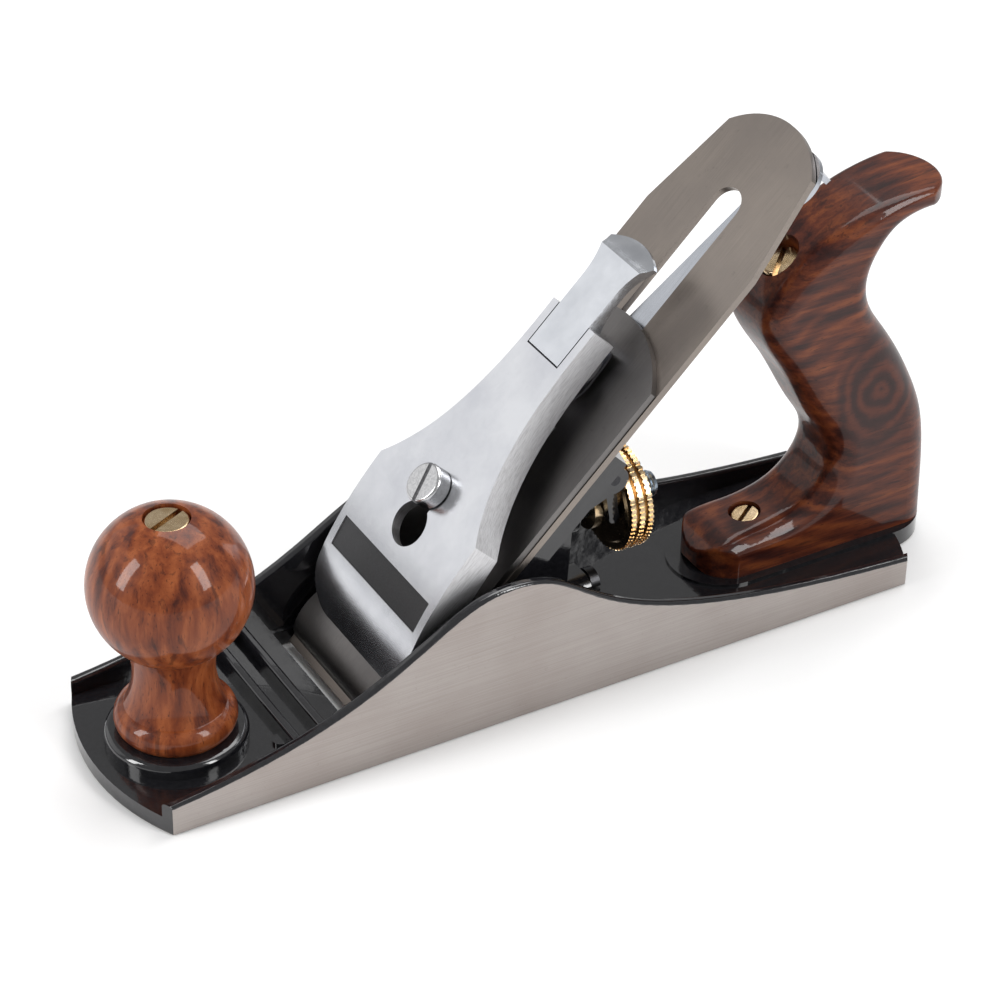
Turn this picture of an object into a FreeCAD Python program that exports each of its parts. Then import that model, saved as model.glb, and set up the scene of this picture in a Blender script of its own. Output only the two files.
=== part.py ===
import FreeCAD, Part
import math
import os

# Bench plane for smoothing wood. Millimetres, +Z up, +X from toe to heel, +Y to the left hand side.
# The origin is on the flat of the sole, at mid width. Pieces on the bed are drawn in the bed's own frame,
# with X up the bed, Y across it and Z square out of it, and are then laid on the bed.

Vector = FreeCAD.Vector

# Sole and cheeks
iron_width = 50.0
body_width = iron_width + 12.0
rail_toe_x = -111.5
rail_heel_x = 114.0
toe_bulge = 8.0
heel_bulge = 9.5
sole_thickness = 4.5
cheek_thickness = 3.0
cheek_round = 1.1
rail_toe_height = 8.9
rail_heel_height = 8.6
cheek_peak_height = 42.9
cheek_peak_x = -13.6
toe_curve_reach = 67.5
toe_curve_rise = 7.5
toe_peak_reach = 23.0
heel_peak_reach = 29.5
heel_curve_reach = 116.0
heel_curve_rise = 7.3
blind_floor = 1.5
blind_gap = 0.5

# Bed, mouth and seats
bed_angle = 45.0
bed_foot_x = -50.0
mouth_front_x = -54.5
mouth_back_gap = 2.0
mouth_half_length = iron_width / 2 + 2.0
frog_seat_height = 6.0
frog_seat_front_x = -38.0
frog_seat_back_x = 13.0
frog_seat_half_width = iron_width / 2 - 3.0
slide_gap = 0.2
frog_forward_travel = 1.0
frog_backward_travel = 1.5

# Ribs and bosses of the casting
rib_places = (-62.5, -71.0)
rib_width = 2.6
rib_height = 8.0
knob_x = -95.75
knob_boss_radius = 18.9
knob_boss_height = 8.6
knob_boss_round = 2.0
tote_pad_height = 5.2
tote_pad_half_width = 15.0
tote_pad_front_x = 56.5
tongue_end_x = 136.5
nub_radius = 2.3
nub_height = 1.0
nub_place = (-73.5, -15.5)
thread_boss_front_x = 20.0
thread_boss_back_x = 26.0
thread_boss_half_width = 6.5
thread_boss_height = 15.5

# Plane iron and cap iron
iron_thickness = 2.0
iron_edge_height = 2.2
iron_bevel_angle = 25.0
iron_shoulder_u = 155.0
iron_top_u = 192.7
iron_corner_u = 184.3
iron_corner_half_width = iron_width / 2 - 5.8
iron_slot_half_width = 5.5
iron_slot_end_u = 171.0
iron_hole_u = 50.0
iron_hole_radius = 8.0
iron_advance = 3.4
iron_retract = 1.0
cap_iron_thickness = 2.0
cap_iron_width = iron_width - 0.6
cap_iron_setback = 1.8
cap_iron_hump_height = 6.1
cap_iron_hump_u = 13.0
cap_iron_flat_u = 27.0
cap_iron_shoulder_u = 116.5
cap_iron_top_u = 128.0
cap_screw_u = 77.0
cap_screw_radius = 3.0
cap_screw_head_radius = 7.2
cap_screw_head_height = 2.4

# Lever cap
cap_width = iron_width + 0.8
cap_lip_u = 14.6
cap_lip_gap = 0.35
cap_lip_n = 9.6
cap_lip_slope_u = 4.6
cap_mid_u = 36.0
cap_mid_n = 15.9
cap_flat_u = 70.0
cap_face_n = 19.2
cap_corner_u = 25.0
cap_corner_half_width = cap_width / 2 - 11.4
cap_kink_u = 58.5
cap_waist_u = 74.0
cap_waist_half_width = 16.2
cap_neck_u = 88.0
cap_neck_half_width = 12.2
cap_top_u = 119.5
cap_top_half_width = 10.2
cap_plate = 3.2
cap_wall = 2.4
cap_wall_foot_n = 10.8
cap_recess_depth = 0.4
cap_recess_u = (30.6, 39.3)
cap_recess_half_width = cap_width / 2 - 2.7
keyhole_u = 50.4
keyhole_radius = 6.3
keyhole_slot_half_width = 3.4
lever_screw_u = 61.5
lever_screw_radius = 3.0
lever_screw_head_radius = 5.7
lever_screw_head_height = 4.6
lever_screw_slot_width = 1.3
lever_screw_slot_depth = 1.6
lever_screw_slot_turn = 19.0
lever_screw_depth = 11.0
lever_screw_gap = 0.3

# Cam lever and its spring
cam_pin_u = 111.0
cam_pin_n = 13.6
cam_pin_radius = 1.75
cam_radius = 7.0
cam_arm_lift = cap_face_n - cam_pin_n
cam_arm_depth = 3.0
cam_half_width = 7.2
cam_gap = 0.35
cam_crease_u = 138.5
cam_flare_u = 137.5
cam_flare_half_width = 10.5
cam_tip_u = 144.6
cam_tip_fall = 3.0
cam_pin_bite = 1.6
pin_fit = 0.05
spring_thickness = 0.7
spring_half_width = 7.0
spring_rivet_u = 80.0
spring_end_u = 117.5
rivet_radius = 1.6

# Frog
frog_half_width = iron_width / 2 - 1.0
frog_plate = 6.0
frog_low_u = 10.5
frog_top_u = 98.0
frog_dome_u = 113.5
frog_dome_half_width = 9.5
frog_foot_thickness = 6.0
frog_back_x = 10.0
frog_rib_half_gap = 13.6
frog_rib_thickness = 3.5
channel_low_u = 66.0
channel_high_u = 94.6
channel_half_width = 9.3
stud_height = 37.2
stud_boss_radius = 6.5
frog_screw_x = -14.0
frog_screw_y = 18.6
frog_screw_radius = 2.4
frog_screw_head_radius = 4.2
frog_screw_head_height = 3.6
frog_screw_gap = 0.3
washer_radius = 4.6
washer_thickness = 1.0

# Depth adjuster
wheel_back_x = 39.1
wheel_front_x = 32.4
wheel_radius = 15.0
wheel_ribs = 3
wheel_groove_depth = 1.6
wheel_teeth = 60
wheel_tooth_depth = 0.45
wheel_tooth_gap = 0.8
hub_groove_front_x = 28.0
hub_groove_back_x = 31.8
hub_groove_radius = 5.2
hub_collar_radius = 7.0
hub_front_x = 25.6
stud_radius = 3.8
stud_thread_pitch = 1.058
stud_thread_depth = 0.35
stud_thread_start_x = 40.2
stud_end_x = 47.5
stud_front_x = 6.0
yoke_pivot_x = 27.5
yoke_pivot_z = 52.0
yoke_pin_radius = 1.5
yoke_barrel_radius = 2.8
yoke_leg_inner_y = 7.6
yoke_leg_outer_y = 9.8
yoke_pad_radius = 1.65
yoke_pad_inner_y = 5.5
yoke_nose_n = 2.8
yoke_nose_radius = 1.4
yoke_nose_half_width = 3.4
yoke_hole_half_width = 5.4
ear_gap = 0.4
ear_thickness = 3.0
ear_radius = 4.0

# Frog adjusting screw
adjust_screw_z = 10.6
adjust_screw_radius = 2.6
adjust_neck_radius = 1.7
adjust_collar_radius = 3.2
adjust_head_radius = 4.0
adjust_head_height = 2.6
adjust_end_x = 27.6
clip_thickness = 1.6
clip_half_width = 8.0
clip_top_z = 25.5
clip_low_z = 7.2
clip_screw_z = 21.4
clip_screw_radius = 2.0
clip_screw_head_radius = 3.6
clip_screw_head_height = 2.0

# Lateral lever
lateral_pivot_u = 109.0
lateral_arm = 9.0
lateral_thickness = 1.5
lateral_half_width = 6.6
lateral_end = 73.8
lateral_end_radius = 8.4
lateral_tab_drop = 6.5
lateral_rest_turn = -8.5
lateral_rivet_radius = 2.0
lateral_rivet_head_radius = 3.1
roller_radius = 3.6
roller_stud_radius = 1.9
roller_bore_gap = 0.2

# Knob
knob_foot_radius = 14.6
knob_bead_radius = 16.1
knob_bead_height = 3.6
knob_shoulder_height = 7.6
knob_shoulder_radius = 13.4
knob_neck_height = 14.6
knob_neck_radius = 11.1
knob_collar_radius = 12.0
knob_ball_radius = 21.4
knob_ball_height = 44.0
knob_nut_radius = 5.9
knob_nut_height = 9.0
knob_nut_recess = 0.6
nut_slot_width = 1.5
nut_slot_depth = 1.8
rod_radius = 2.9
rod_bore_gap = 0.25

# Tote
tote_toe_x = 60.8
tote_length = 76.2
tote_height = 109.8
tote_half_thickness = 12.5
horn_square_x = 118.0
horn_tip_x = 133.3
horn_low_z = 95.0
horn_round = 1.5
toe_square_x = 76.0
toe_tip_x = 61.4
toe_high_z = 26.0
toe_round = 1.6
tote_foot_round = 0.64
# Runs of the side outline: stations in percent of length and height, then the round at the run's start
# as a share of the half thickness. They go up the toe and the grip's front, over the horn and down its back.
tote_runs = [
    ([(2.9, 0), (0, 3.0), (2.6, 6.8)], 0.2),
    ([(10.5, 9.8), (22.0, 10.8), (33.0, 11.9), (43.5, 14.8), (50.0, 19.3)], 0.4),
    ([(53.0, 25.2), (51.4, 30.6)], 0.58),
    ([(45.2, 37.6), (31.0, 54.7), (20.2, 67.0)], 0.64),
    ([(18.6, 71.5), (21.5, 77.0), (29.1, 84.0), (41.7, 90.6)], 0.5),
    ([(56.7, 95.6), (75.1, 98.5), (85.0, 99.0), (93.5, 98.9)], 0.36),
    ([(98.5, 97.9), (100.0, 95.9), (98.2, 94.1), (91.0, 93.5)], 0.12),
    ([(79.5, 92.8), (70.8, 89.9), (65.4, 85.0), (62.6, 80.2), (62.0, 74.8)], 0.27),
    ([(64.6, 68.6), (72.3, 60.4), (80.9, 51.4), (87.8, 42.4), (92.8, 33.8), (95.4, 24.7), (96.6, 12.1),
      (97.2, 0)],
     0.54),
]
tote_rod_top = (85.0, 97.0)
tote_rod_foot_x = 115.0
tote_nut_radius = 5.6
tote_nut_height = 9.0
toe_screw_x = 79.5
toe_screw_seat_z = 16.3
toe_screw_head_radius = 4.3
toe_screw_head_height = 3.0
toe_screw_lean = 12.0

half_width = body_width / 2


def on_bed(shape):
    """Lays a piece drawn in the bed's frame on the bed."""
    turn = FreeCAD.Rotation(Vector(0, 1, 0), -bed_angle)
    shape.Placement = FreeCAD.Placement(Vector(bed_foot_x, 0, 0), turn).multiply(shape.Placement)
    return shape


def bed_to_world(u, v, n):
    angle = math.radians(bed_angle)
    x = bed_foot_x + u * math.cos(angle) - n * math.sin(angle)
    return Vector(x, v, u * math.sin(angle) + n * math.cos(angle))


def world_to_bed(x, z):
    angle = math.radians(bed_angle)
    along = x - bed_foot_x
    return (along * math.cos(angle) + z * math.sin(angle), z * math.cos(angle) - along * math.sin(angle))


def line(a, b):
    return Part.LineSegment(a, b).toShape()


def arc(a, middle, b):
    return Part.Arc(a, middle, b).toShape()


def spline(points):
    curve = Part.BSplineCurve()
    curve.interpolate(points)
    return curve.toShape()


def polygon(points):
    return Part.Wire(Part.makePolygon(points + [points[0]]).Edges)


def prism(edges, direction):
    """A solid swept from the flat face that the edges close."""
    wire = edges if isinstance(edges, Part.Wire) else Part.Wire(edges)
    return Part.Face(wire).extrude(direction)


def side_prism(points, low_y, high_y):
    """A solid from an outline of (x, z) corners, between two places across."""
    outline = polygon([Vector(x, low_y, z) for x, z in points])
    return prism(outline, Vector(0, high_y - low_y, 0))


def block(x, y, z):
    """A box from its (low, high) spans along X, Y and Z."""
    return Part.makeBox(x[1] - x[0], y[1] - y[0], z[1] - z[0], Vector(x[0], y[0], z[0]))


def rod(radius, start, end):
    axis = end - start
    return Part.makeCylinder(radius, axis.Length, start, axis)


def stadium(low_u, high_u, radius, low_n, high_n):
    """A round ended slot along X."""
    depth = high_n - low_n
    middle = block((low_u, high_u), (-radius, radius), (low_n, high_n))
    for u in (low_u, high_u):
        middle = middle.fuse(Part.makeCylinder(radius, depth, Vector(u, 0, low_n)))
    return middle.removeSplitter()


def as_solid(shape):
    shape = shape.removeSplitter()
    return shape.Solids[0] if len(shape.Solids) == 1 else shape


def save(name, shape):
    if isinstance(shape, (list, tuple)):
        shape = Part.makeCompound(list(shape))
    shape.exportStep("parts/" + name + ".step")
    print(name, round(shape.Volume), len(shape.Solids), shape.isValid())


def footprint():
    """The sole's outline: straight sides, a bowed toe and a bowed heel."""
    y = half_width
    toe = rail_toe_x
    heel = rail_heel_x
    corners = [Vector(toe, -y, 0), Vector(heel, -y, 0), Vector(heel, y, 0), Vector(toe, y, 0)]
    return [
        line(corners[0], corners[1]),
        arc(corners[1], Vector(heel + heel_bulge, 0, 0), corners[2]),
        line(corners[2], corners[3]),
        arc(corners[3], Vector(toe - toe_bulge, 0, 0), corners[0]),
    ]


def cheek(low_y):
    """One cheek: low at toe and heel, swept up to its peak beside the iron."""
    toe_x = rail_toe_x - toe_bulge
    heel_x = rail_heel_x + heel_bulge
    peak = Vector(cheek_peak_x, low_y, cheek_peak_height)
    toe_top = Vector(rail_toe_x, low_y, rail_toe_height)
    heel_top = Vector(rail_heel_x, low_y, rail_heel_height)
    rise = Part.BezierCurve()
    rise.setPoles([
        toe_top,
        toe_top + Vector(toe_curve_reach, 0, toe_curve_rise),
        peak - Vector(toe_peak_reach, 0, 0),
        peak,
    ])
    fall = Part.BezierCurve()
    fall.setPoles([
        peak,
        peak + Vector(heel_peak_reach, 0, 0),
        heel_top + Vector(-heel_curve_reach, 0, heel_curve_rise),
        heel_top,
    ])
    toe_end = Vector(toe_x, low_y, rail_toe_height)
    heel_end = Vector(heel_x, low_y, rail_heel_height)
    edges = [
        line(Vector(heel_x, low_y, 0), Vector(toe_x, low_y, 0)),
        line(Vector(toe_x, low_y, 0), toe_end),
        line(toe_end, toe_top),
        rise.toShape(),
        fall.toShape(),
        line(heel_top, heel_end),
        line(heel_end, Vector(heel_x, low_y, 0)),
    ]
    wall = prism(edges, Vector(0, cheek_thickness, 0))
    tops = [edge for edge in wall.Edges if edge.BoundBox.ZMin > sole_thickness and edge.BoundBox.YLength < 0.01]
    return wall.makeFillet(cheek_round, tops)


def make_body():
    sole = prism(footprint(), Vector(0, 0, sole_thickness))
    within = prism(footprint(), Vector(0, 0, cheek_peak_height + 1))
    cheeks = [cheek(low_y).common(within) for low_y in (-half_width, half_width - cheek_thickness)]
    pad = stadium(tote_pad_front_x + tote_pad_half_width, tongue_end_x - tote_pad_half_width,
                  tote_pad_half_width, 0, tote_pad_height)
    body = sole.fuse(cheeks + [pad])

    inner = half_width - cheek_thickness / 2
    ribs = [block((x - rib_width / 2, x + rib_width / 2), (-inner, inner),
                  (1, rib_height)) for x in rib_places]
    ribs = [rib.makeFillet(rib_width * 0.3, [e for e in rib.Edges if e.BoundBox.ZMin > rib_height - 0.01
                                             and e.BoundBox.XLength < 0.01]) for rib in ribs]
    boss = Part.makeCylinder(knob_boss_radius, knob_boss_height, Vector(knob_x, 0, 0))
    boss = boss.makeFillet(knob_boss_round, [e for e in boss.Edges if e.BoundBox.ZMin > 1])
    nub = Part.makeCylinder(nub_radius, sole_thickness + nub_height, Vector(*nub_place, 0))
    seat = block((frog_seat_front_x, frog_seat_back_x), (-frog_seat_half_width, frog_seat_half_width),
                 (1, frog_seat_height))
    thread_boss = block((thread_boss_front_x, thread_boss_back_x),
                        (-thread_boss_half_width, thread_boss_half_width), (1, thread_boss_height))
    upright = [e for e in thread_boss.Edges if e.BoundBox.XLength > 1 and e.BoundBox.ZMin > 2]
    thread_boss = thread_boss.makeFillet(thread_boss_half_width * 0.6, upright)
    body = body.fuse(ribs + [boss, nub, seat, thread_boss])

    top = rib_height + 1
    foot = bed_foot_x + mouth_back_gap
    mouth = side_prism([(mouth_front_x, -1), (foot - 1, -1), (foot + top, top), (mouth_front_x, top)],
                       -mouth_half_length, mouth_half_length)
    body = body.cut(mouth)

    screw_x = Vector(adjust_end_x, 0, adjust_screw_z)
    holes = [
        rod(rod_radius, Vector(knob_x, 0, blind_floor), Vector(knob_x, 0, knob_boss_height + 1)),
        rod(adjust_screw_radius + pin_fit, Vector(thread_boss_front_x - 1, 0, adjust_screw_z), screw_x),
        rod(rod_radius, tote_rod_point(blind_floor), tote_rod_point(tote_pad_height + 1)),
        rod(toe_screw_shank_radius(), toe_screw_point(blind_floor), toe_screw_point(tote_pad_height + 1)),
    ]
    for side in (-1, 1):
        holes.append(rod(frog_screw_radius, Vector(frog_screw_x, side * frog_screw_y, blind_floor),
                         Vector(frog_screw_x, side * frog_screw_y, frog_seat_height + 1)))
    return as_solid(body.cut(Part.makeCompound(holes)))


def frog_bed_profile():
    """The bed plate's outline on the bed, with the domed top that carries the lateral lever."""
    low, top, dome = frog_low_u, frog_top_u, frog_dome_u
    wide, narrow = frog_half_width, frog_dome_half_width
    return [
        line(Vector(low, -wide, 0), Vector(top, -wide, 0)),
        line(Vector(top, -wide, 0), Vector(top + 3, -narrow, 0)),
        arc(Vector(top + 3, -narrow, 0), Vector(dome, 0, 0), Vector(top + 3, narrow, 0)),
        line(Vector(top + 3, narrow, 0), Vector(top, wide, 0)),
        line(Vector(top, wide, 0), Vector(low, wide, 0)),
        line(Vector(low, wide, 0), Vector(low, -wide, 0)),
    ]


def make_frog():
    plate = prism(frog_bed_profile(), Vector(0, 0, -frog_plate))
    plate.translate(Vector(0, 0, -slide_gap))
    recess = block((channel_high_u - 1, frog_dome_u + 1),
                   (-frog_dome_half_width - 2.5, frog_dome_half_width + 2.5),
                   (-slide_gap - lateral_thickness - 0.3, 1))
    channel = stadium(channel_low_u + 3, channel_high_u - 3, 3, -20, 1)
    channel = channel.fuse(block((channel_low_u, channel_high_u),
                                 (-channel_half_width, channel_half_width), (-20, 1)))
    plate = on_bed(plate.cut(recess))
    channel = on_bed(channel)

    base_z = frog_seat_height
    foot_top = base_z + frog_foot_thickness
    back = frog_back_x
    low = bed_to_world(frog_low_u, 0, -slide_gap - frog_plate / 2)
    high = bed_to_world(frog_top_u - 4, 0, -slide_gap - frog_plate / 2)
    foot = side_prism([(low.x, base_z), (back, base_z), (back, foot_top),
                       (low.x + foot_top - base_z, foot_top)],
                      -frog_half_width, frog_half_width)
    webs = []
    for side in (-1, 1):
        inner = side * frog_rib_half_gap - (frog_rib_thickness if side < 0 else 0)
        webs.append(side_prism([(low.x + 6, base_z + 1), (back, base_z + 1), (high.x - 6, high.z - 8),
                                (high.x, high.z)],
                               inner, inner + frog_rib_thickness))
    back_wall = side_prism([(back - 4, base_z + 1), (back, base_z + 1), (back, 48), (back - 4, 48)],
                           -frog_rib_half_gap - 1, frog_rib_half_gap + 1)
    stud_boss = rod(stud_boss_radius, Vector(back - 3, 0, stud_height),
                    Vector(hub_front_x - 4.2, 0, stud_height))
    screw_boss = on_bed(Part.makeCylinder(6, 8, Vector(lever_screw_u, 0, -11.5)))
    frog = plate.fuse([foot, back_wall, stud_boss, screw_boss] + webs)

    ears = []
    for side in (-1, 1):
        inner = side * (yoke_leg_outer_y + ear_gap)
        outer = side * (yoke_leg_outer_y + ear_gap + ear_thickness)
        low_y, high_y = min(inner, outer), max(inner, outer)
        pivot = (yoke_pivot_x, yoke_pivot_z)
        arm = side_prism([(back - 3, 40), (pivot[0] - 1, pivot[1] - ear_radius),
                          (pivot[0], pivot[1] + ear_radius),
                          (back + 5, 62), (back - 3, 56)], low_y, high_y)
        eye = rod(ear_radius, Vector(pivot[0], low_y, pivot[1]), Vector(pivot[0], high_y, pivot[1]))
        ears.append(arm.fuse(eye))
    frog = frog.fuse(ears)

    pin = rod(yoke_pin_radius, Vector(yoke_pivot_x, -30, yoke_pivot_z),
              Vector(yoke_pivot_x, 30, yoke_pivot_z))
    cuts = [
        channel,
        rod(stud_radius + pin_fit, Vector(stud_front_x, 0, stud_height), Vector(60, 0, stud_height)),
        on_bed(Part.makeCylinder(lever_screw_radius, lever_screw_depth + 1,
                                 Vector(lever_screw_u, 0, -lever_screw_depth))),
        on_bed(Part.makeCylinder(lateral_rivet_radius, frog_plate + 2,
                                 Vector(lateral_pivot_u, 0, -frog_plate - 1))),
        on_bed(block((frog_dome_u - 20, frog_dome_u + 9), (-40, 40), (0, 9))),
        pin,
        rod(clip_screw_radius, Vector(back - 5, 0, clip_screw_z), Vector(back + 1, 0, clip_screw_z)),
        rod(adjust_collar_radius + slide_gap * 2, Vector(back - 2.5, 0, adjust_screw_z),
            Vector(back + 1, 0, adjust_screw_z)),
        block((-70, 60), (-40, 40), (-1, base_z + pin_fit)),
    ]
    travel = frog_backward_travel + frog_forward_travel + 2 * frog_screw_gap
    for side in (-1, 1):
        y = side * frog_screw_y
        slot = stadium(frog_screw_x - travel / 2, frog_screw_x + travel / 2,
                       frog_screw_radius + frog_screw_gap, base_z - 1,
                       foot_top + 1)
        slot.translate(Vector(0, y, 0))
        reach = washer_radius + frog_screw_gap
        access = stadium(frog_screw_x - travel / 2, frog_screw_x + travel / 2, reach, foot_top, 70)
        access.translate(Vector(0, y, 0))
        cuts += [slot, access]
    for piece in cuts:
        frog = frog.cut(piece)
    return as_solid(frog)


def make_frog_screws():
    screws, washers = [], []
    foot_top = frog_seat_height + frog_foot_thickness + slide_gap
    for side in (-1, 1):
        foot = Vector(frog_screw_x, side * frog_screw_y, 0)
        washer = Part.makeCylinder(washer_radius, washer_thickness, foot + Vector(0, 0, foot_top))
        washer = washer.cut(Part.makeCylinder(frog_screw_radius + 0.1, 9,
                                              foot + Vector(0, 0, foot_top - 3)))
        washers.append(washer)
        seat = foot_top + washer_thickness
        start = blind_floor + blind_gap
        shank = Part.makeCylinder(frog_screw_radius - pin_fit, seat - start, foot + Vector(0, 0, start))
        head = Part.makeCylinder(frog_screw_head_radius, frog_screw_head_height, foot + Vector(0, 0, seat))
        slot = block((-9, 9), (-0.6, 0.6), (seat + frog_screw_head_height - 1.4, seat + 9))
        slot.translate(foot)
        screws.append(as_solid(shank.fuse(head).cut(slot)))
    return screws, washers


def make_adjusting_clip():
    """A forked plate on the frog's back that holds the neck of the adjusting screw."""
    x = frog_back_x
    plate = block((x, x + clip_thickness), (-clip_half_width, clip_half_width), (clip_low_z, clip_top_z))
    neck = rod(adjust_neck_radius + pin_fit, Vector(x - 1, 0, adjust_screw_z),
               Vector(x + 9, 0, adjust_screw_z))
    reach = adjust_neck_radius + pin_fit
    opening = block((x - 1, x + 9), (-reach, reach), (clip_low_z - 1, adjust_screw_z))
    hole = rod(clip_screw_radius + 0.1, Vector(x - 1, 0, clip_screw_z), Vector(x + 9, 0, clip_screw_z))
    return as_solid(plate.cut(neck).cut(opening).cut(hole))


def make_clip_screw():
    seat = frog_back_x + clip_thickness
    shank = rod(clip_screw_radius - pin_fit, Vector(frog_back_x - 4, 0, clip_screw_z),
                Vector(seat, 0, clip_screw_z))
    head = rod(clip_screw_head_radius, Vector(seat, 0, clip_screw_z),
               Vector(seat + clip_screw_head_height, 0, clip_screw_z))
    slot = block((seat + clip_screw_head_height - 0.9, seat + 9), (-9, 9),
                 (clip_screw_z - 0.5, clip_screw_z + 0.5))
    return as_solid(shank.fuse(head).cut(slot))


def make_adjusting_screw():
    z = adjust_screw_z
    front = frog_back_x - 0.15
    behind = frog_back_x + clip_thickness + 0.15
    shank = rod(adjust_screw_radius, Vector(behind, 0, z), Vector(adjust_end_x, 0, z))
    end = rod(adjust_collar_radius, Vector(front - 1.8, 0, z), Vector(front, 0, z))
    neck = rod(adjust_neck_radius, Vector(front - 1, 0, z), Vector(behind + 1, 0, z))
    collar = rod(adjust_collar_radius, Vector(behind, 0, z), Vector(behind + 2, 0, z))
    head = rod(adjust_head_radius, Vector(adjust_end_x - 0.1, 0, z),
               Vector(adjust_end_x + adjust_head_height, 0, z))
    slot = block((adjust_end_x + adjust_head_height - 1.6, adjust_end_x + 9), (-9, 9), (z - 0.6, z + 0.6))
    return as_solid(shank.fuse([end, neck, collar, head]).cut(slot))


def make_depth_stud():
    """The stud: plain through the frog and the wheel, ringed by its thread behind the wheel."""
    start = stud_front_x + 0.5
    root = stud_radius - stud_thread_depth
    rings = int((stud_end_x - stud_thread_start_x) / stud_thread_pitch)
    profile = [(start, 0), (start, stud_radius), (stud_thread_start_x, stud_radius)]
    for k in range(rings):
        x = stud_thread_start_x + k * stud_thread_pitch
        profile += [(x + stud_thread_pitch / 2, root), (x + stud_thread_pitch, stud_radius)]
    profile += [(stud_end_x, root), (stud_end_x, 0)]
    wire = polygon([Vector(x, 0, r) for x, r in profile])
    stud = Part.Face(wire).revolve(Vector(0, 0, 0), Vector(1, 0, 0), 360)
    stud.translate(Vector(0, 0, stud_height))
    return as_solid(stud)


def make_depth_wheel():
    """The brass wheel: knurled ribs, a grooved hub for the fork, and a flat front face."""
    x0, x1 = wheel_front_x, wheel_back_x
    width = (x1 - x0) / (2 * wheel_ribs - 1)
    low = wheel_radius - wheel_groove_depth
    outline = [
        (hub_front_x, stud_radius + pin_fit), (hub_front_x, hub_collar_radius),
        (hub_groove_front_x, hub_collar_radius), (hub_groove_front_x, hub_groove_radius),
        (hub_groove_back_x, hub_groove_radius), (hub_groove_back_x, low - 1.2), (x0, low - 0.6), (x0,
                                                                                                  wheel_radius),
    ]
    for k in range(wheel_ribs):
        start = x0 + 2 * k * width
        outline += [(start + width, wheel_radius)]
        if k < wheel_ribs - 1:
            outline += [(start + width + 0.3, low), (start + 2 * width - 0.3, low),
                        (start + 2 * width, wheel_radius)]
    outline += [(x1, low - 2), (x1 - 1, low - 2.5), (x1 - 1, stud_radius + 4), (x1, stud_radius + 3),
                (x1, stud_radius + pin_fit)]
    wire = polygon([Vector(x, 0, r) for x, r in outline])
    wheel = Part.Face(wire).revolve(Vector(0, 0, 0), Vector(1, 0, 0), 360)
    wheel.translate(Vector(0, 0, stud_height))
    return as_solid(wheel.cut(Part.makeCompound(knurl_cuts(x0, x1))))


def knurl_cuts(x0, x1):
    cuts = []
    for k in range(wheel_teeth):
        notch = block((x0 - 0.5, x1 + 0.5), (-wheel_tooth_gap / 2, wheel_tooth_gap / 2),
                      (wheel_radius - wheel_tooth_depth, wheel_radius + 1))
        notch.rotate(Vector(0, 0, 0), Vector(1, 0, 0), 360.0 * k / wheel_teeth)
        notch.translate(Vector(0, 0, stud_height))
        cuts.append(notch)
    return cuts


def make_yoke():
    """The forked lever: pads in the wheel's groove below, a nose in the cap iron above."""
    px, pz = yoke_pivot_x, yoke_pivot_z
    pad_x = (hub_groove_front_x + hub_groove_back_x) / 2
    pad_z = stud_height
    barrel = rod(yoke_barrel_radius, Vector(px, -yoke_leg_outer_y, pz), Vector(px, yoke_leg_outer_y, pz))
    pieces = []
    for side in (-1, 1):
        ys = sorted((side * yoke_leg_inner_y, side * yoke_leg_outer_y))
        leg = side_prism([(pad_x - 1.5, pad_z), (pad_x + 1.4, pad_z), (px + 1.8, pz), (px - 1.8, pz)], *ys)
        pads = sorted((side * yoke_pad_inner_y, side * yoke_leg_outer_y))
        pad = rod(yoke_pad_radius, Vector(pad_x, pads[0], pad_z), Vector(pad_x, pads[1], pad_z))
        pieces += [leg, pad]
    u, n = world_to_bed(px, pz)
    arm = block((u - 1.4, u + 1.4), (-yoke_nose_half_width, yoke_nose_half_width), (n, yoke_nose_n))
    tip = rod(yoke_nose_radius, Vector(u, -yoke_nose_half_width, yoke_nose_n),
              Vector(u, yoke_nose_half_width, yoke_nose_n))
    pieces += [on_bed(arm), on_bed(tip)]
    yoke = barrel.fuse(pieces)
    return as_solid(yoke.cut(rod(yoke_pin_radius + pin_fit, Vector(px, -20, pz), Vector(px, 20, pz))))


def make_yoke_pin():
    reach = yoke_leg_outer_y + ear_gap + ear_thickness
    return rod(yoke_pin_radius, Vector(yoke_pivot_x, -reach, yoke_pivot_z),
               Vector(yoke_pivot_x, reach, yoke_pivot_z))


def turn_lateral(shape):
    """Turns a piece about the lateral lever's pivot to where the lever rests."""
    shape.rotate(Vector(lateral_pivot_u, 0, 0), Vector(0, 0, 1), lateral_rest_turn)
    return shape


def make_lateral_lever():
    p = lateral_pivot_u
    top = -slide_gap - 0.1
    w = lateral_half_width
    end = p + lateral_end
    tail = p - lateral_arm
    strip = block((tail, end), (-w, w), (top - lateral_thickness, top))
    strip = strip.fuse(Part.makeCylinder(w - 1.2, lateral_thickness,
                                         Vector(tail, 0, top - lateral_thickness)))
    strip = strip.fuse(Part.makeCylinder(lateral_end_radius, lateral_thickness,
                                         Vector(end, 0, top - lateral_thickness)))
    low = top - lateral_tab_drop
    tab = block((end + lateral_end_radius - 3.4, end + lateral_end_radius - 3.4 + lateral_thickness),
                (-5.5, 5.5), (low, top - 0.2))
    tab = tab.makeFillet(2.5,
                         [e for e in tab.Edges if e.BoundBox.ZMax < low + 0.01 and e.BoundBox.YLength < 0.01])
    stud = Part.makeCylinder(roller_stud_radius, iron_thickness - top, Vector(tail, 0, top - 0.5))
    lever = strip.fuse([tab, stud])
    lever = lever.cut(Part.makeCylinder(lateral_rivet_radius + pin_fit, 9, Vector(p, 0, -6)))
    return as_solid(on_bed(turn_lateral(lever)))


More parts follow.
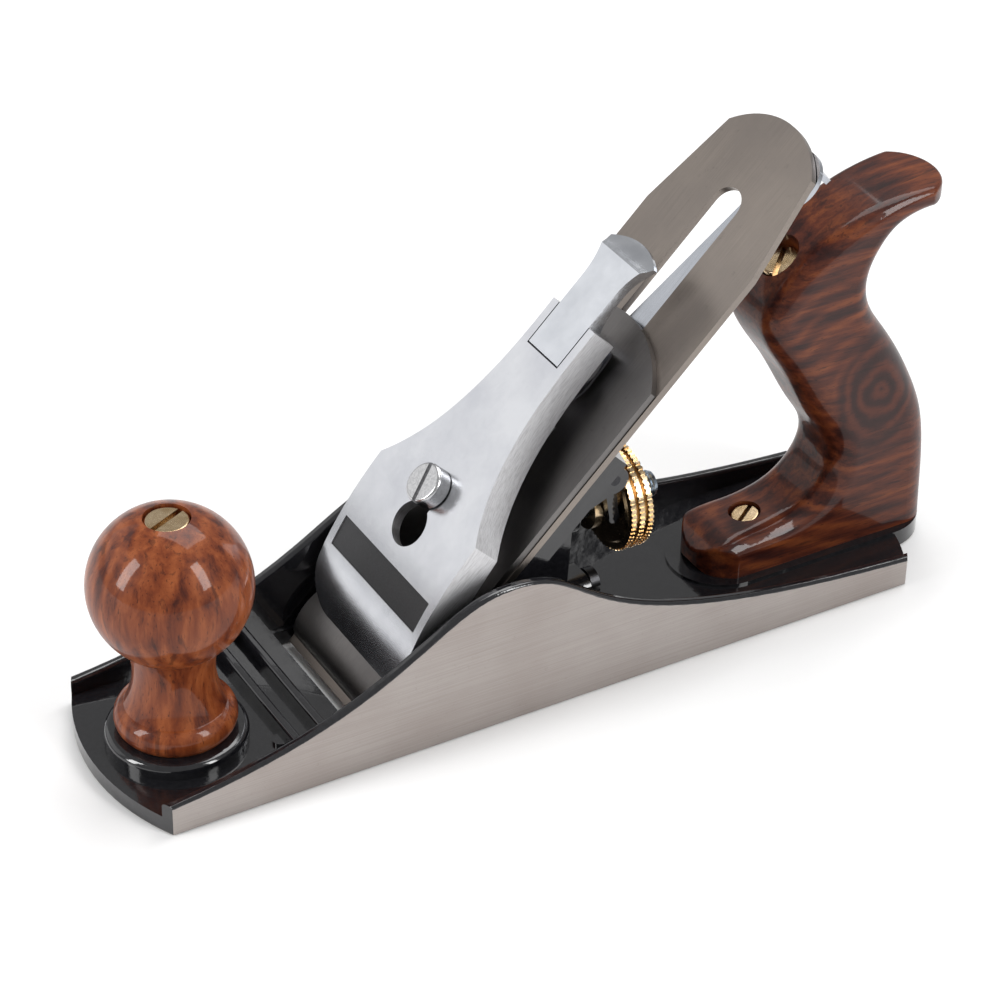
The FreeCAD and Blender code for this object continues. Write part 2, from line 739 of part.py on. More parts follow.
def make_lateral_rivet():
    p = lateral_pivot_u
    shank = Part.makeCylinder(lateral_rivet_radius, frog_plate, Vector(p, 0, -frog_plate))
    head = Part.makeCylinder(lateral_rivet_head_radius, 1.0, Vector(p, 0, -slide_gap + 0.05))
    return as_solid(on_bed(shank.fuse(head)))


def make_lateral_roller():
    u = lateral_pivot_u - lateral_arm
    roller = Part.makeCylinder(roller_radius, iron_thickness - 0.45, Vector(u, 0, 0.1))
    roller = roller.cut(Part.makeCylinder(roller_stud_radius + roller_bore_gap, 9, Vector(u, 0, -3)))
    return on_bed(turn_lateral(roller))


def iron_edge_u():
    return iron_edge_height / math.sin(math.radians(bed_angle)) - iron_thickness


def make_iron():
    w = iron_width / 2
    t = iron_thickness
    low = iron_edge_u()
    outline = [
        line(Vector(low, -w, 0), Vector(iron_shoulder_u, -w, 0)),
        line(Vector(iron_shoulder_u, -w, 0), Vector(iron_corner_u, -iron_corner_half_width, 0)),
        arc(Vector(iron_corner_u, -iron_corner_half_width, 0), Vector(iron_top_u, 0, 0),
            Vector(iron_corner_u, iron_corner_half_width, 0)),
        line(Vector(iron_corner_u, iron_corner_half_width, 0), Vector(iron_shoulder_u, w, 0)),
        line(Vector(iron_shoulder_u, w, 0), Vector(low, w, 0)),
        line(Vector(low, w, 0), Vector(low, -w, 0)),
    ]
    iron = prism(outline, Vector(0, 0, t))
    run = t / math.tan(math.radians(iron_bevel_angle))
    bevel = side_prism([(low - 1, t + 0.001), (low, t), (low + run, 0), (low + run, -1), (low - 1, -1)],
                       -w - 1, w + 1)
    slot = stadium(iron_hole_u, iron_slot_end_u - iron_slot_half_width, iron_slot_half_width, -1, t + 1)
    hole = Part.makeCylinder(iron_hole_radius, t + 2, Vector(iron_hole_u, 0, -1))
    return as_solid(on_bed(iron.cut(bevel).cut(slot).cut(hole)))


def make_cap_iron():
    """The chip breaker: a flat plate with a humped front that comes down to the iron behind its edge."""
    t = cap_iron_thickness
    base = iron_thickness + 0.02
    front = iron_edge_u() + cap_iron_setback
    w = cap_iron_width / 2
    top = cap_iron_hump_height
    flat = cap_iron_flat_u
    hump = cap_iron_hump_u

    def place(u, n):
        return Vector(u, -w, n)

    crest = [place(front + 0.4, base), place(front + 1.6, base + 1.6), place(hump, top),
             place(flat, base + t)]
    under = [place(flat, base), place(hump, top - t + 0.3), place(front + 3.4, base + 1.0),
             place(front + 2.6, base)]
    upper = Part.BSplineCurve()
    upper.interpolate(crest[1:], InitialTangent=Vector(1, 0, 0.9), FinalTangent=Vector(1, 0, 0))
    lower = Part.BSplineCurve()
    lower.interpolate([under[0], under[1], under[2]], InitialTangent=Vector(-1, 0, 0),
                      FinalTangent=Vector(-1, 0, -1))
    end = cap_iron_top_u
    profile = [
        line(crest[0], crest[1]),
        upper.toShape(),
        line(place(flat, base + t), place(end, base + t)),
        line(place(end, base + t), place(end, base)),
        line(place(end, base), under[0]),
        lower.toShape(),
        line(under[2], under[3]),
        line(under[3], crest[0]),
    ]
    plate = prism(profile, Vector(0, 2 * w, 0))
    shoulder = cap_iron_shoulder_u
    trim = [
        line(Vector(-5, -w, -1), Vector(shoulder, -w, -1)),
        arc(Vector(shoulder, -w, -1), Vector(end, 0, -1), Vector(shoulder, w, -1)),
        line(Vector(shoulder, w, -1), Vector(-5, w, -1)),
        line(Vector(-5, w, -1), Vector(-5, -w, -1)),
    ]
    plate = plate.common(prism(trim, Vector(0, 0, 20)))
    middle = lever_screw_u + (iron_advance - iron_retract) / 2
    reach = (iron_advance + iron_retract) / 2 + 0.5
    screw_slot = stadium(middle - reach, middle + reach, lever_screw_radius + 2, -1, 20)
    u, _ = world_to_bed(yoke_pivot_x, yoke_pivot_z)
    slack = yoke_nose_radius + 0.3
    nose_slot = block((u - slack, u + slack), (-yoke_hole_half_width, yoke_hole_half_width), (-1, 20))
    thread = Part.makeCylinder(cap_screw_radius, 20, Vector(cap_screw_u, 0, -1))
    return as_solid(on_bed(plate.cut(screw_slot).cut(nose_slot).cut(thread)))


def make_cap_iron_screw():
    """Its wide head lies under the iron and its thread ends flush in the cap iron."""
    top = iron_thickness + cap_iron_thickness
    shank = Part.makeCylinder(cap_screw_radius - pin_fit, top, Vector(cap_screw_u, 0, 0))
    head = Part.makeCylinder(cap_screw_head_radius, cap_screw_head_height,
                             Vector(cap_screw_u, 0, -cap_screw_head_height))
    slot = block((cap_screw_u - 9, cap_screw_u + 9), (-0.7, 0.7), (-9, -cap_screw_head_height + 1.2))
    return as_solid(on_bed(shank.fuse(head).cut(slot)))


def cap_outline(inset=0.0):
    """The lever cap seen square to the bed: broad below, waisted to a narrow neck above."""
    w = cap_width / 2 - inset
    corner = cap_corner_half_width - inset
    waist = cap_waist_half_width - inset
    neck = cap_neck_half_width - inset
    top = cap_top_half_width - inset
    lip = cap_lip_u + inset
    end = cap_top_u
    right, left = [], []
    for side, store in ((-1, right), (1, left)):
        store += [
            Vector(lip, side * corner, 0),
            Vector(lip + (cap_corner_u - cap_lip_u) * 0.3, side * (corner + (w - corner) * 0.72), 0),
            Vector(cap_corner_u + inset, side * w, 0),
            Vector(cap_kink_u, side * w, 0),
            Vector(cap_waist_u, side * waist, 0),
            Vector(cap_neck_u, side * neck, 0),
            Vector(end, side * top, 0),
        ]

    def waist_curve(points):
        curve = Part.BSplineCurve()
        curve.interpolate(points)
        return curve.toShape()

    return [
        arc(right[0], right[1], right[2]),
        line(right[2], right[3]),
        waist_curve(right[3:]),
        line(right[6], left[6]),
        waist_curve(left[:2:-1]),
        line(left[3], left[2]),
        arc(left[2], left[1], left[0]),
        line(left[0], right[0]),
    ]


def cap_side(drop, low_n, low_u):
    """The lever cap's side outline: a crowned face that falls to the lip, lowered by drop."""
    w = cap_width / 2 + 1
    lip_n = cap_lip_n - drop
    face = cap_face_n - drop
    start = Vector(cap_lip_u + cap_lip_slope_u, -w, lip_n)
    middle = Vector(cap_mid_u, -w, cap_mid_n - drop)
    flat = Vector(cap_flat_u, -w, face)
    crown = Part.BSplineCurve()
    crown.interpolate([start, middle, flat], InitialTangent=Vector(1, 0, 0.62),
                      FinalTangent=Vector(1, 0, 0))
    end = Vector(cap_top_u + 1, -w, face)
    low_front = Vector(low_u, -w, low_n)
    low_back = Vector(cap_top_u + 1, -w, low_n)
    edges = [line(low_front, start), crown.toShape(), line(flat, end), line(end, low_back),
             line(low_back, low_front)]
    return prism(edges, Vector(0, 2 * w, 0))


def make_lever_cap():
    foot_n = cap_iron_hump_height + cap_lip_gap
    outer = prism(cap_outline(), Vector(0, 0, 40))
    shell = outer.common(cap_side(0, foot_n, cap_lip_u))
    hollow = prism(cap_outline(cap_wall), Vector(0, 0, 40))
    room = hollow.common(cap_side(cap_plate, foot_n - 3, cap_lip_u + 6))
    cap = shell.cut(room)
    w = cap_width
    wall_relief = side_prism([(cap_corner_u + 5, foot_n - 1), (cap_top_u + 2, foot_n - 1),
                              (cap_top_u + 2, cap_wall_foot_n),
                              (cap_kink_u, cap_wall_foot_n - 1)], -w, w)
    cap = cap.cut(wall_relief)
    side_gap = cam_half_width + cam_gap
    notch = block((cam_pin_u, cap_top_u + 2), (-side_gap, side_gap), (0, 40))
    swept = rod(cam_radius + cam_gap, Vector(cam_pin_u, -side_gap, cam_pin_n),
                Vector(cam_pin_u, side_gap, cam_pin_n))
    notch = notch.fuse(swept)
    reach = cam_pin_reach() + pin_fit
    pin = rod(cam_pin_radius, Vector(cam_pin_u, -reach, cam_pin_n), Vector(cam_pin_u, reach, cam_pin_n))
    keyhole = Part.makeCylinder(keyhole_radius, 40, Vector(keyhole_u, 0, 0))
    keyhole = keyhole.fuse(stadium(keyhole_u, lever_screw_u, keyhole_slot_half_width, 0, 40))
    band = block(cap_recess_u, (-cap_recess_half_width, cap_recess_half_width), (0, 40))
    band = band.common(cap_side(0, 0, cap_lip_u)).cut(cap_side(cap_recess_depth, 0, cap_lip_u))
    rivet = Part.makeCylinder(rivet_radius, 12, Vector(spring_rivet_u, 0, cap_face_n - cap_plate + 1 - 12))
    for piece in (notch, pin, keyhole, band, rivet):
        cap = cap.cut(piece)
    return as_solid(on_bed(cap))


def make_cam_lever():
    """The cam about its pin, with an arm that lies along the cap and a flared thumb end."""
    w = cam_flare_half_width
    pin_u, pin_n = cam_pin_u, cam_pin_n
    crown = cap_face_n
    crease = cam_crease_u - pin_u
    end = cam_tip_u - pin_u
    root = cam_radius * math.sqrt(0.5)
    front = math.sqrt(cam_radius ** 2 - cam_arm_lift ** 2)

    def place(u, n):
        return Vector(pin_u + u, -w, pin_n + n)

    start = place(-front, cam_arm_lift)
    fold = place(crease, cam_arm_lift)
    top_end = place(end, cam_arm_lift - cam_tip_fall)
    low_end = place(end, cam_arm_lift - cam_tip_fall - 1.1)
    dish = Part.BSplineCurve()
    dish.interpolate([fold, top_end], InitialTangent=Vector(1, 0, -0.9), FinalTangent=Vector(1, 0, -0.15))
    belly = Part.BSplineCurve()
    belly.interpolate([low_end, place(crease - 1, cam_arm_lift - 2.9),
                       place(crease - 10, cam_arm_lift - cam_arm_depth),
                       place(cam_radius + 3, cam_arm_lift - cam_arm_depth - 1.2), place(root, -root)])
    profile = [line(start, fold), dish.toShape(), line(top_end, low_end), belly.toShape(),
               arc(place(root, -root), place(-root, -root), start)]
    arm = prism(profile, Vector(0, 2 * w, 0))
    half = cam_half_width
    tip = cam_tip_u
    plan = [
        Vector(pin_u - 9, -half, 0), Vector(cam_flare_u - 9, -half, 0), Vector(cam_flare_u + 4, -w, 0),
        Vector(tip, 0, 0), Vector(cam_flare_u + 4, w, 0), Vector(cam_flare_u - 9, half,
                                                                 0), Vector(pin_u - 9, half, 0),
    ]
    flare_near = Part.BSplineCurve()
    flare_near.interpolate([plan[1], Vector(cam_flare_u - 2, -half - 0.9, 0), plan[2]],
                           InitialTangent=Vector(1, 0, 0),
                           FinalTangent=Vector(1, -0.4, 0))
    flare_far = Part.BSplineCurve()
    flare_far.interpolate([plan[4], Vector(cam_flare_u - 2, half + 0.9, 0), plan[5]],
                          InitialTangent=Vector(-1, -0.4, 0),
                          FinalTangent=Vector(-1, 0, 0))
    trim = [line(plan[0], plan[1]), flare_near.toShape(), arc(plan[2], plan[3], plan[4]),
            flare_far.toShape(),
            line(plan[5], plan[6]), line(plan[6], plan[0])]
    arm = arm.common(prism(trim, Vector(0, 0, crown + 20)))
    bore = rod(cam_pin_radius + pin_fit, Vector(pin_u, -20, pin_n), Vector(pin_u, 20, pin_n))
    return as_solid(on_bed(arm.cut(bore)))


def cam_pin_reach():
    return cam_half_width + cam_gap + cam_pin_bite


def make_cam_pin():
    reach = cam_pin_reach()
    return on_bed(rod(cam_pin_radius, Vector(cam_pin_u, -reach, cam_pin_n),
                      Vector(cam_pin_u, reach, cam_pin_n)))


def make_spring():
    """A leaf under the cap: riveted to its plate, bowed down and turned under the cam."""
    seat = cap_face_n - cap_plate - 0.02
    t = spring_thickness
    under_cam = cam_pin_n - cam_radius - cam_gap
    points = [(spring_rivet_u - 7, seat), (spring_rivet_u + 6, seat), (spring_rivet_u + 15, seat - 3.2),
              (cam_pin_u - 6, under_cam + 0.1), (cam_pin_u, under_cam), (spring_end_u, under_cam + 0.6)]
    w = spring_half_width
    above = Part.BSplineCurve()
    above.interpolate([Vector(u, -w, n) for u, n in points[1:]], InitialTangent=Vector(1, 0, 0),
                      FinalTangent=Vector(1, 0, 0.3))
    below = Part.BSplineCurve()
    below.interpolate([Vector(u, -w, n - t) for u, n in points[1:]][::-1],
                      InitialTangent=Vector(-1, 0, -0.3),
                      FinalTangent=Vector(-1, 0, 0))
    first, second, last = points[0], points[1], points[-1]
    profile = [
        line(Vector(first[0], -w, first[1]), Vector(second[0], -w, second[1])),
        above.toShape(),
        line(Vector(last[0], -w, last[1]), Vector(last[0], -w, last[1] - t)),
        below.toShape(),
        line(Vector(second[0], -w, second[1] - t), Vector(first[0], -w, first[1] - t)),
        line(Vector(first[0], -w, first[1] - t), Vector(first[0], -w, first[1])),
    ]
    leaf = prism(profile, Vector(0, 2 * w, 0))
    hole = Part.makeCylinder(rivet_radius + 0.05, 30, Vector(spring_rivet_u, 0, 0))
    return as_solid(on_bed(leaf.cut(hole)))


def make_spring_rivet():
    seat = cap_face_n - cap_plate - spring_thickness - 0.04
    shank = Part.makeCylinder(rivet_radius - 0.02, spring_thickness + 0.9, Vector(spring_rivet_u, 0, seat))
    head = Part.makeCylinder(2 * rivet_radius, 0.9, Vector(spring_rivet_u, 0, seat - 0.9))
    return as_solid(on_bed(shank.fuse(head)))


def make_lever_screw():
    seat = cap_face_n + lever_screw_gap
    u = lever_screw_u
    shank = Part.makeCylinder(lever_screw_radius - pin_fit, seat + lever_screw_depth - 0.5,
                              Vector(u, 0, 0.5 - lever_screw_depth))
    head = Part.makeCylinder(lever_screw_head_radius, lever_screw_head_height, Vector(u, 0, seat))
    head = head.makeFillet(0.9, [e for e in head.Edges if e.BoundBox.ZMin > seat + 1])
    slot = block((-9, 9), (-lever_screw_slot_width / 2, lever_screw_slot_width / 2),
                 (seat + lever_screw_head_height - lever_screw_slot_depth, seat + 9))
    slot.rotate(Vector(0, 0, 0), Vector(0, 0, 1), lever_screw_slot_turn)
    slot.translate(Vector(u, 0, 0))
    return as_solid(on_bed(shank.fuse(head).cut(slot)))


def make_knob():
    """A turned knob: beaded foot, waist, and a ball flattened by the nut's bore."""
    base = knob_boss_height
    bore = rod_radius + rod_bore_gap
    ball_z = knob_ball_height
    join_r = knob_collar_radius
    join_z = ball_z - math.sqrt(knob_ball_radius ** 2 - join_r ** 2)
    pocket_r = knob_nut_radius + 0.25
    top_z = ball_z + math.sqrt(knob_ball_radius ** 2 - pocket_r ** 2)
    floor_z = top_z - knob_nut_recess - knob_nut_height

    def place(r, z):
        return Vector(r, 0, z)

    waist = Part.BSplineCurve()
    waist.interpolate([place(knob_shoulder_radius, knob_shoulder_height),
                       place(knob_neck_radius, knob_neck_height),
                       place(join_r, join_z)])
    edges = [
        line(place(bore, 0), place(knob_foot_radius, 0)),
        arc(place(knob_foot_radius, 0), place(knob_bead_radius, knob_bead_height),
            place(knob_shoulder_radius, knob_shoulder_height)),
        waist.toShape(),
        arc(place(join_r, join_z), place(knob_ball_radius, ball_z), place(pocket_r, top_z)),
        line(place(pocket_r, top_z), place(pocket_r, floor_z)),
        line(place(pocket_r, floor_z), place(bore, floor_z)),
        line(place(bore, floor_z), place(bore, 0)),
    ]
    knob = Part.Face(Part.Wire(edges)).revolve(Vector(0, 0, 0), Vector(0, 0, 1), 360)
    knob.translate(Vector(knob_x, 0, base))
    return knob, base + floor_z


def slotted_nut(radius, height, foot, axis, slot_turn):
    """A round nut with a screwdriver slot and a domed top, and a blind bore for its rod."""
    nut = Part.makeCylinder(radius, height)
    nut = nut.makeFillet(0.7, [e for e in nut.Edges if e.BoundBox.ZMin > height - 0.01])
    slot = block((-9, 9), (-nut_slot_width / 2, nut_slot_width / 2), (height - nut_slot_depth, height + 1))
    slot.rotate(Vector(0, 0, 0), Vector(0, 0, 1), slot_turn)
    nut = nut.cut(slot).cut(Part.makeCylinder(rod_radius + pin_fit, height - nut_slot_depth - 1.5,
                                              Vector(0, 0, -0.001)))
    nut.Placement = FreeCAD.Placement(foot, FreeCAD.Rotation(Vector(0, 0, 1), axis))
    return as_solid(nut)


def tote_rod_point(z):
    """The point on the tote rod's axis at one height."""
    top_x, top_z = tote_rod_top
    share = (z - sole_thickness) / (top_z - sole_thickness)
    return Vector(tote_rod_foot_x + (top_x - tote_rod_foot_x) * share, 0, z)


def toe_screw_shank_radius():
    return rod_radius - 0.4


def toe_screw_point(z):
    """The point on the toe screw's axis at one height: it leans back from the toe of the tote."""
    return Vector(toe_screw_x + (toe_screw_seat_z - z) * math.tan(math.radians(toe_screw_lean)), 0, z)


def tote_station(across, up):
    """A point of the tote's side outline, from percentages of its length and height."""
    x = tote_toe_x + tote_length * across / 100
    return Vector(x, -tote_half_thickness, tote_pad_height + tote_height * up / 100)


def make_tote_blank():
    """The tote's side outline swept across, its rims rounded by more on the grip than at horn and toe."""
    stations = [tote_station(*station) for run, _ in tote_runs for station in run]
    foot_end = stations[-1]
    curve = Part.BSplineCurve()
    curve.interpolate(stations)
    knots = [tote_station(*run[0]) for run, _ in tote_runs] + [foot_end]
    places = [curve.parameter(knot) for knot in knots]
    edges = []
    for start, end in zip(places[:-1], places[1:]):
        stretch = curve.copy()
        stretch.segment(start, end)
        edges.append(stretch.toShape())
    edges.append(line(foot_end, stations[0]))
    blank = prism(edges, Vector(0, 2 * tote_half_thickness, 0))

    rounds = [share * tote_half_thickness for _,
              share in tote_runs] + [tote_foot_round * tote_half_thickness]
    table = []
    for number, edge in enumerate(blank.Edges, 1):
        box = edge.BoundBox
        if box.YLength > 0.01 or box.ZMax < tote_pad_height + 0.01:
            continue
        ends = [Vector(vertex.X, -tote_half_thickness, vertex.Z) for vertex in (edge.Vertexes[0],
                                                                                edge.Vertexes[-1])]
        start, end = [min(range(len(knots)),
                          key=lambda k: knots[k].distanceToPoint(point)) for point in ends]
        table.append((number, rounds[start], rounds[end]))
    document = FreeCAD.newDocument("tote")
    source = document.addObject("Part::Feature", "blank")
    source.Shape = blank
    rounded = document.addObject("Part::Fillet", "rounded")
    rounded.Base = source
    rounded.Edges = table
    document.recompute()
    tote = rounded.Shape.Solids[0].cut(horn_waste())
    tote = tote.makeFillet(horn_round, round_end_rims(tote, horn_tip_x))
    tote = tote.cut(toe_waste())
    return tote.makeFillet(toe_round, round_end_rims(tote, toe_tip_x))


def round_end_rims(tote, tip_x):
    """The edges above the foot that run round the end whose furthest point is at tip_x."""
    rims = []
    for edge in tote.Edges:
        box = edge.BoundBox
        if box.YLength < horn_round or box.ZMin < tote_pad_height + 0.1:
            continue
        if min(abs(box.XMax - tip_x), abs(box.XMin - tip_x)) > 0.6:
            continue
        faces = tote.ancestorsOfType(edge, Part.Face)
        if any(isinstance(face.Surface, Part.Cylinder) for face in faces):
            rims.append(edge)
    return rims


def end_waste(square_x, tip_x, reach, low_z, height):
    """What lies outside a tip that is round as seen from above."""
    y = tote_half_thickness + 1
    edges = [
        arc(Vector(square_x, -y, low_z), Vector(tip_x, 0, low_z), Vector(square_x, y, low_z)),
        line(Vector(square_x, y, low_z), Vector(reach, y, low_z)),
        line(Vector(reach, y, low_z), Vector(reach, -y, low_z)),
        line(Vector(reach, -y, low_z), Vector(square_x, -y, low_z)),
    ]
    return prism(edges, Vector(0, 0, height))


def horn_waste():
    return end_waste(horn_square_x, horn_tip_x, horn_tip_x + tote_half_thickness, horn_low_z, tote_height)


def toe_waste():
    return end_waste(toe_square_x, toe_tip_x, toe_tip_x - tote_half_thickness, 0, toe_high_z)


def make_tote():
    tote = make_tote_blank()
    nut_foot = tote_rod_point(tote_rod_top[1]) - tote_rod_axis() * tote_nut_height
    tote = tote.cut(rod(rod_radius + rod_bore_gap, tote_rod_point(0), nut_foot + tote_rod_axis()))
    tote = tote.cut(rod(tote_nut_radius + 0.25, nut_foot, nut_foot + tote_rod_axis() * 40))
    axis = toe_screw_axis()
    seat = toe_screw_point(toe_screw_seat_z) - axis * toe_screw_head_height
    tote = tote.cut(rod(toe_screw_shank_radius() + 0.2, toe_screw_point(0), seat + axis))
    tote = tote.cut(rod(toe_screw_head_radius + 0.3, seat, seat + axis * 30))
    return as_solid(tote), nut_foot, seat


def tote_rod_axis():
    return (tote_rod_point(1) - tote_rod_point(0)).normalize()


def toe_screw_axis():
    return (toe_screw_point(1) - toe_screw_point(0)).normalize()


def make_tote_screw(seat):
    axis = toe_screw_axis()
    shank = rod(toe_screw_shank_radius() - pin_fit, toe_screw_point(blind_floor + 2 * blind_gap),
                seat + axis * 0.5)
    head = Part.makeCylinder(toe_screw_head_radius, toe_screw_head_height)
    head = head.makeFillet(0.8, [e for e in head.Edges if e.BoundBox.ZMin > 1])
    slot = block((-9, 9), (-0.7, 0.7), (toe_screw_head_height - 1.3, 9))
    slot.rotate(Vector(0, 0, 0), Vector(0, 0, 1), 30)
    head = head.cut(slot)
    head.Placement = FreeCAD.Placement(seat, FreeCAD.Rotation(Vector(0, 0, 1), axis))
    return as_solid(shank.fuse(head))


def main():
    os.makedirs("parts", exist_ok=True)
    save("plane_body", make_body())
    save("frog", make_frog())
    screws, washers = make_frog_screws()
    save("frog_screws", screws)
    save("frog_washers", washers)
    save("frog_adjusting_clip", make_adjusting_clip())
    save("frog_clip_screw", make_clip_screw())
    save("frog_adjusting_screw", make_adjusting_screw())
    save("depth_stud", make_depth_stud())
    save("depth_wheel", make_depth_wheel())
    save("depth_yoke", make_yoke())
    save("yoke_pin", make_yoke_pin())
    save("lateral_lever", make_lateral_lever())
    save("lateral_rivet", make_lateral_rivet())
    save("lateral_roller", make_lateral_roller())
    save("plane_iron", make_iron())
    save("cap_iron", make_cap_iron())
    save("cap_iron_screw", make_cap_iron_screw())
    save("lever_cap", make_lever_cap())
    save("cam_lever", make_cam_lever())
    save("cam_pin", make_cam_pin())
    save("lever_cap_spring", make_spring())
    save("spring_rivet", make_spring_rivet())
    save("lever_cap_screw", make_lever_screw())

    knob, nut_z = make_knob()
    save("front_knob", knob)
    up = Vector(0, 0, 1)
    nut_foot = Vector(knob_x, 0, nut_z)
    save("knob_nut", slotted_nut(knob_nut_radius, knob_nut_height, nut_foot, up, 25))
    rod_top = nut_z + knob_nut_height - nut_slot_depth - 1.7
    save("knob_stud", rod(rod_radius - pin_fit, Vector(knob_x, 0, blind_floor + blind_gap),
                          Vector(knob_x, 0, rod_top)))

    tote, tote_nut_foot, seat = make_tote()
    save("rear_tote", tote)
    axis = tote_rod_axis()
    save("tote_nut", slotted_nut(tote_nut_radius, tote_nut_height, tote_nut_foot, axis, 40))
    rod_end = tote_nut_foot + axis * (tote_nut_height - nut_slot_depth - 1.7)
    save("tote_stud", rod(rod_radius - pin_fit, tote_rod_point(blind_floor + 2 * blind_gap), rod_end))
    save("tote_toe_screw", make_tote_screw(seat))


main()
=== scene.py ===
import math

import bpy
from mathutils import Matrix, Vector

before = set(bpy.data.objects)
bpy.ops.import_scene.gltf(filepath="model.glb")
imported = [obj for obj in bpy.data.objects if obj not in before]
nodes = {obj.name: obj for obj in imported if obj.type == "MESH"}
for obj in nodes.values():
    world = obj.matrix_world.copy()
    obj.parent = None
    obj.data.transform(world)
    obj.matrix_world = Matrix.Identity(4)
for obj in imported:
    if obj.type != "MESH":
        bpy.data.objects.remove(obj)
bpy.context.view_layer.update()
print("frame loaded,", len(nodes), "nodes")

scene = bpy.context.scene
mm = 0.001
bed = {"turn": math.radians(45), "foot": (-50.0, 0.0, 0.0)}      # slope, and where it meets the sole in mm
mixSockets = {"factor": 0, "first": 6, "second": 7, "result": 2}  # the colour ones of a Mix node


class Wire:
    # one output socket; arithmetic between wires or with numbers adds Math nodes
    def __init__(self, finish, socket):
        self.finish = finish
        self.socket = socket

    def run(self, operation, *values):
        return self.finish.add("ShaderNodeMath", {"operation": operation}, dict(enumerate(values)))

    def __add__(self, other):
        return self.run("ADD", self, other)

    def __radd__(self, other):
        return self.run("ADD", other, self)

    def __sub__(self, other):
        return self.run("SUBTRACT", self, other)

    def __rsub__(self, other):
        return self.run("SUBTRACT", other, self)

    def __mul__(self, other):
        return self.run("MULTIPLY", self, other)

    def __rmul__(self, other):
        return self.run("MULTIPLY", other, self)

    def __gt__(self, other):
        return self.run("GREATER_THAN", self, other)

    def __lt__(self, other):
        return self.run("LESS_THAN", self, other)

    def __abs__(self):
        return self.run("ABSOLUTE", self)

    def power(self, exponent):
        return self.run("POWER", self, exponent)

    def root(self):
        return self.run("SQRT", self)

    def sine(self):
        return self.run("SINE", self)

    def most(self, other):
        return self.run("MAXIMUM", self, other)

    def step(self, low, high):
        # 0 below low, 1 above high, smooth between
        return self.finish.add("ShaderNodeMapRange", {"interpolation_type": "SMOOTHSTEP"},
                               {"Value": self, "From Min": low, "From Max": high})

    def spread(self, low, high):
        # 0 below low, 1 above high, straight between
        return self.finish.add("ShaderNodeMapRange", {"clamp": True},
                               {"Value": self, "From Min": low, "From Max": high})


class Finish:
    # one material while it is being made; its places are in millimetres
    def __init__(self, name):
        self.material = bpy.data.materials.new(name)
        self.material.use_nodes = True
        self.tree = self.material.node_tree
        self.tree.nodes.clear()
        self.place = self.vector("SCALE", self.add("ShaderNodeTexCoord", out="Object"), scale=1 / mm)
        self.x, self.y, self.z = self.parts(self.place)

    def add(self, kind, settings=None, sockets=None, out=0):
        node = self.tree.nodes.new(kind)
        for key, value in (settings or {}).items():
            if key == "stops":
                ramp = node.color_ramp
                while len(ramp.elements) > 1:
                    ramp.elements.remove(ramp.elements[-1])
                ramp.elements[0].position = value[0][0]
                ramp.elements[0].color = (*value[0][1], 1)
                for position, colour in value[1:]:
                    ramp.elements.new(position).color = (*colour, 1)
            else:
                setattr(node, key, value)
        for key, value in (sockets or {}).items():
            socket = node.inputs[key]
            if isinstance(value, Wire):
                self.tree.links.new(value.socket, socket)
            else:
                if socket.type == "RGBA" and len(value) == 3:
                    value = (*value, 1)
                socket.default_value = value
        return Wire(self, node.outputs[out])

    def vector(self, operation, a, b=None, scale=None):
        sockets = {0: a}
        if b is not None:
            sockets[1] = b
        if scale is not None:
            sockets["Scale"] = scale
        out = "Value" if operation == "LENGTH" else 0
        return self.add("ShaderNodeVectorMath", {"operation": operation}, sockets, out)

    def parts(self, vector):
        split = self.add("ShaderNodeSeparateXYZ", None, {0: vector})
        return [Wire(self, output) for output in split.socket.node.outputs]

    def mix(self, factor, a, b):
        sockets = {mixSockets["factor"]: factor, mixSockets["first"]: a, mixSockets["second"]: b}
        return self.add("ShaderNodeMix", {"data_type": "RGBA"}, sockets, mixSockets["result"])

    def noise(self, place, scale, detail, roughness, distortion=0.0, stretch=None):
        # stretch scales the place on each axis, so a small number draws the grain out along it
        if stretch:
            place = self.vector("MULTIPLY", place, stretch)
        return self.add("ShaderNodeTexNoise", None, {"Vector": place, "Scale": scale, "Detail": detail,
                                                     "Roughness": roughness, "Distortion": distortion})

    def onBed(self):
        # place turned into the bed's frame: up the bed, across it, out of it
        moved = self.vector("SUBTRACT", self.place, bed["foot"])
        return self.add("ShaderNodeVectorRotate", {"rotation_type": "AXIS_ANGLE"},
                        {"Vector": moved, "Axis": (0, 1, 0), "Angle": bed["turn"]})

    def facing(self):
        return self.parts(self.add("ShaderNodeTexCoord", out="Normal"))

    def bump(self, height, distance, strength):
        sockets = {"Height": height, "Distance": distance * mm, "Strength": strength}
        return self.add("ShaderNodeBump", None, sockets)

    def close(self, **sockets):
        names = {"colour": "Base Color", "rough": "Roughness", "metal": "Metallic", "coat": "Coat Weight",
                 "coatRough": "Coat Roughness", "normal": "Normal", "brushed": "Anisotropic",
                 "specular": "Specular IOR Level"}
        shader = self.add("ShaderNodeBsdfPrincipled", None, {names[k]: v for k, v in sockets.items()})
        output = self.tree.nodes.new("ShaderNodeOutputMaterial")
        self.tree.links.new(shader.socket, output.inputs["Surface"])
        return self.material


def darker(colour, share):
    return tuple(channel * share for channel in colour)


# in each dictionary a noise is its scale, detail and roughness, and a bump its depth in mm and strength
japanCoat = {
    "black": (0.006, 0.006, 0.0075), "worn": (0.012, 0.012, 0.014), "wornRange": (0.35, 0.7),
    "ripple": (0.16, 2, 0.4), "pits": (0.9, 3, 0.55), "pitDepth": 0.14,
    "rough": 0.07, "pitRough": 0.07, "clear": 0.6, "clearRough": 0.03, "bump": (0.35, 0.5),
}


